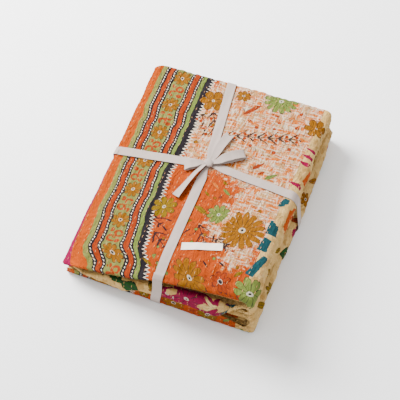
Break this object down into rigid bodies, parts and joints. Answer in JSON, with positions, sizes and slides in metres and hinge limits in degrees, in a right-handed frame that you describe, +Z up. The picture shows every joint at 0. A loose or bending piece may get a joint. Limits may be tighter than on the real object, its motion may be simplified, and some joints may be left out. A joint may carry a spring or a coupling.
{
  "type": "throw blanket",
  "caption": "Hand-stitched patchwork cotton throw with a bordered print, folded to a wedge-shaped bundle and tied crosswise with a flat woven tape in a bow, with a small blank sewn label.",
  "frame": {"origin": "on the surface that the folded throw lies on, under the middle of its box", "axes": "+X from the open left edge to the folded right edges, +Y from the open front hems to the back folds, +Z up"},
  "size_m": [0.3138, 0.394, 0.11],
  "materials": {
    "printed_cotton": "matte, block-printed cotton with rows of white running stitch",
    "woven_tape": "matte, plain-woven cotton tape",
    "label_cloth": "matte, plain-woven cotton tape, blank"
  },
  "bodies": {
    "root": {"throw": "printed_cotton", "tape_across": "woven_tape", "tape_along": "woven_tape", "knot": "woven_tape", "loop_right": "woven_tape", "loop_left": "woven_tape", "end_up": "woven_tape", "end_down": "woven_tape", "label": "label_cloth"}
  },
  "joints": []
}
